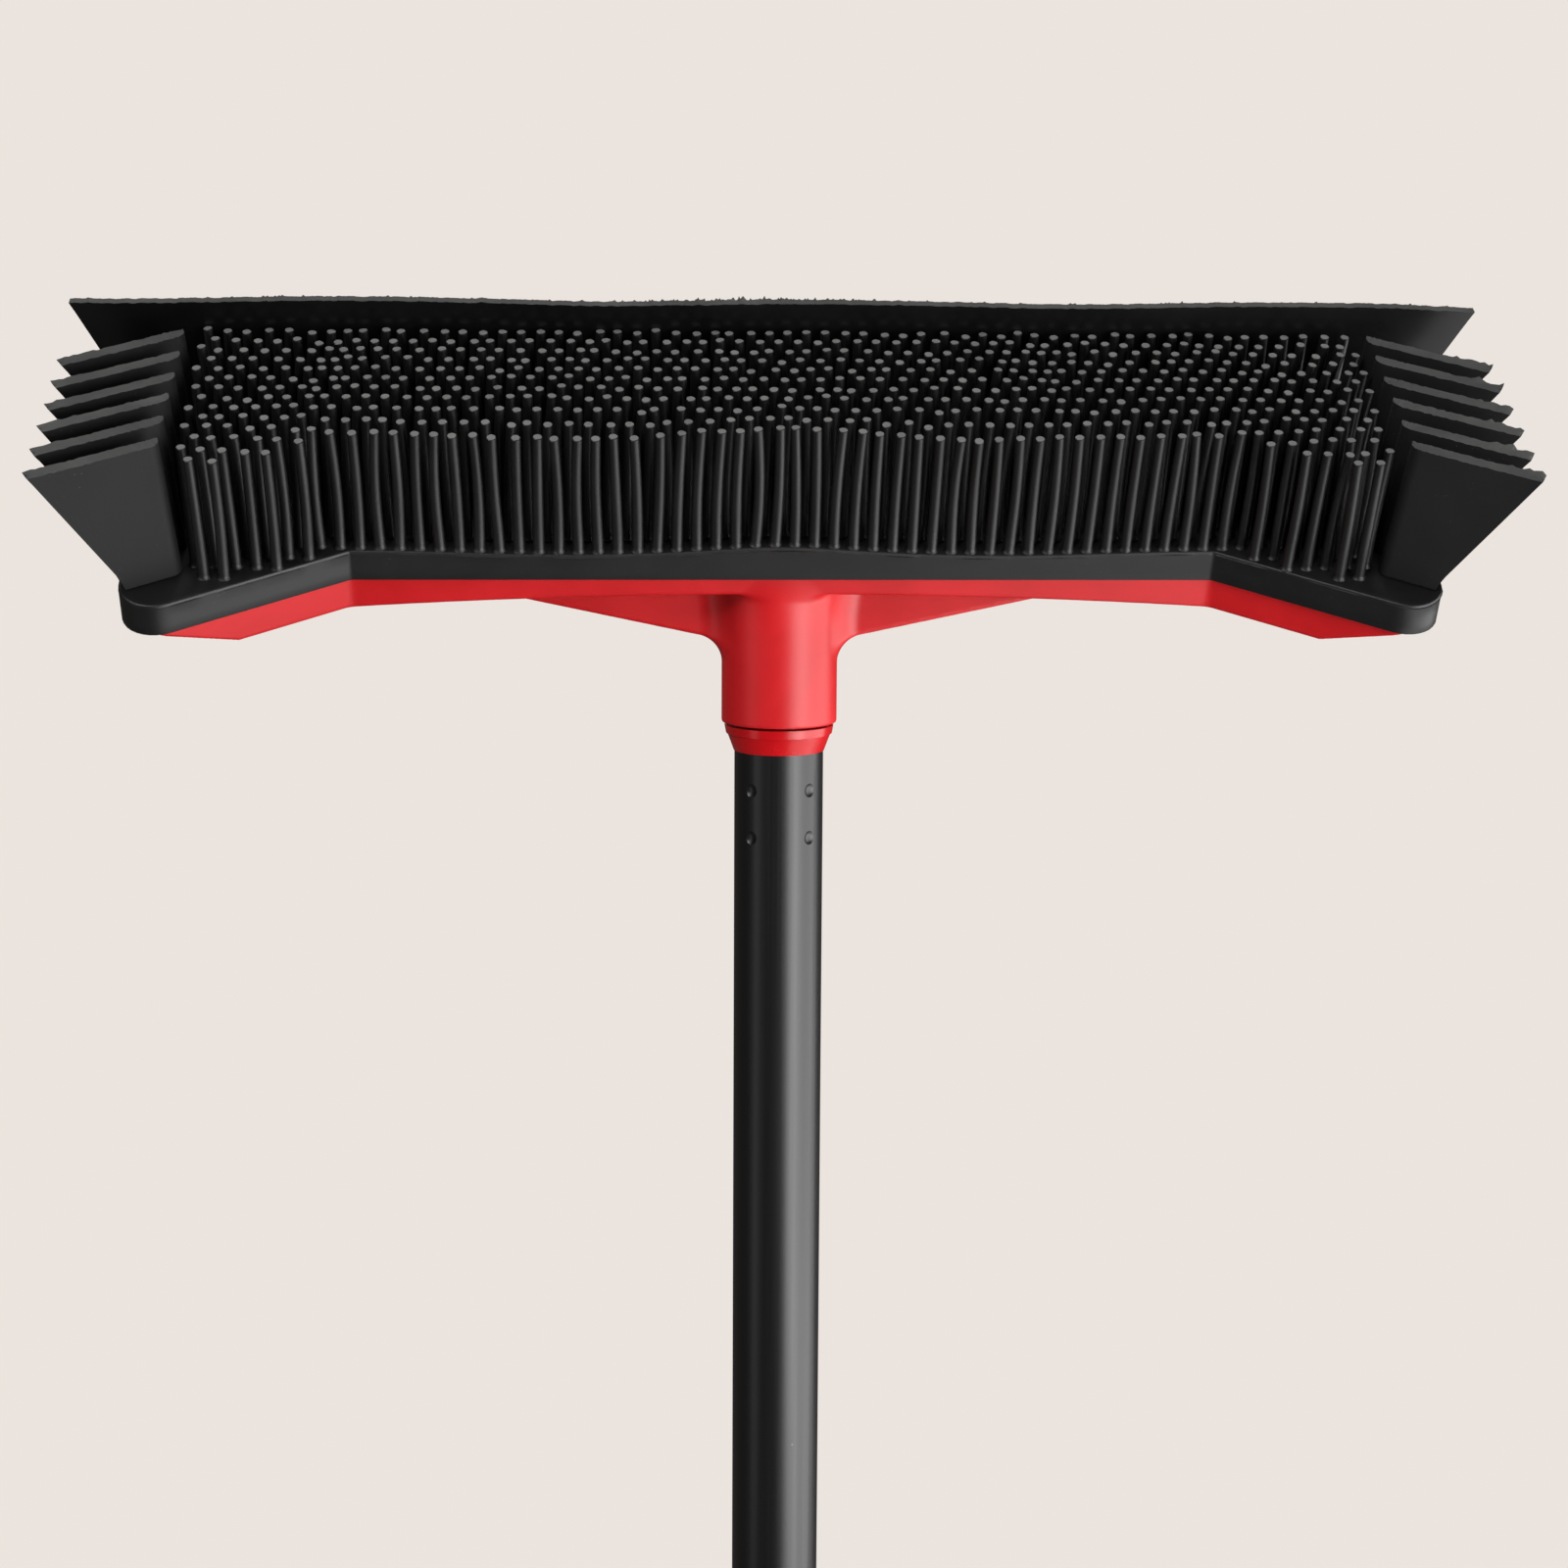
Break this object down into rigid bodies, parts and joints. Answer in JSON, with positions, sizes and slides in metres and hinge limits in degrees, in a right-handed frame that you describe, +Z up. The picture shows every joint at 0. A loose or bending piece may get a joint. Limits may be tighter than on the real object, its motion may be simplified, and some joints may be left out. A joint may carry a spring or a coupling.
{
  "type": "rubber push broom",
  "caption": "Push broom with moulded rubber bristles, end fins and a squeegee lip on a red shell, on a twist-lock telescopic steel handle.",
  "frame": {"origin": "centre of the hanging hole in the end cap, on the handle's axis", "axes": "+Z up along the handle towards the head, +X across the head, +Y towards the squeegee side of the head"},
  "size_m": [0.34, 0.0941, 0.9176],
  "materials": {
    "natural_rubber": "satin moulded",
    "red_polypropylene": "satin moulded",
    "powder_coated_steel": "fine satin powder coat",
    "grip_rubber": "matt moulded",
    "black_nylon": "as moulded"
  },
  "bodies": {
    "root": {"head_shell": "red_polypropylene", "rubber_base": "natural_rubber", "squeegee_blade": "natural_rubber", "left_fin_1": "natural_rubber", "left_fin_2": "natural_rubber", "left_fin_3": "natural_rubber", "left_fin_4": "natural_rubber", "left_fin_5": "natural_rubber", "left_fin_6": "natural_rubber", "right_fin_1": "natural_rubber", "right_fin_2": "natural_rubber", "right_fin_3": "natural_rubber", "right_fin_4": "natural_rubber", "right_fin_5": "natural_rubber", "right_fin_6": "natural_rubber", "bristle_row_01": "natural_rubber", "bristle_row_02": "natural_rubber", "bristle_row_03": "natural_rubber", "bristle_row_04": "natural_rubber", "bristle_row_05": "natural_rubber", "bristle_row_06": "natural_rubber", "bristle_row_07": "natural_rubber", "bristle_row_08": "natural_rubber", "bristle_row_09": "natural_rubber", "bristle_row_10": "natural_rubber", "bristle_row_11": "natural_rubber", "bristle_row_12": "natural_rubber", "bristle_row_13": "natural_rubber", "bristle_row_14": "natural_rubber", "thread_insert": "red_polypropylene", "outer_tube": "powder_coated_steel", "tube_collar": "red_polypropylene"},
    "lock_sleeve": {"expander_sleeve": "black_nylon"},
    "inner_handle": {"inner_tube": "powder_coated_steel", "expander_stud": "black_nylon", "grip_sleeve": "grip_rubber", "hang_cap": "red_polypropylene"},
    "lock_wedge": {"wedge_nut": "black_nylon"}
  },
  "joints": [
    {"name": "handle_extend", "type": "slide", "parent": "root", "child": "lock_sleeve", "axis": [0, 0, -1], "range_m": [0, 0.61]},
    {"name": "handle_twist", "type": "hinge", "parent": "lock_sleeve", "child": "inner_handle", "pos_m": [0, 0, 0.72], "axis": [0, 0, 1], "range_deg": [0, 180]},
    {"name": "wedge_slide", "type": "slide", "parent": "lock_sleeve", "child": "lock_wedge", "axis": [0, 0, -1], "range_m": [0, 0.0021]}
  ],
  "couplings": [
    {"joint": "wedge_slide", "follows": "handle_twist", "m_per_rad": 0.0006366}
  ]
}
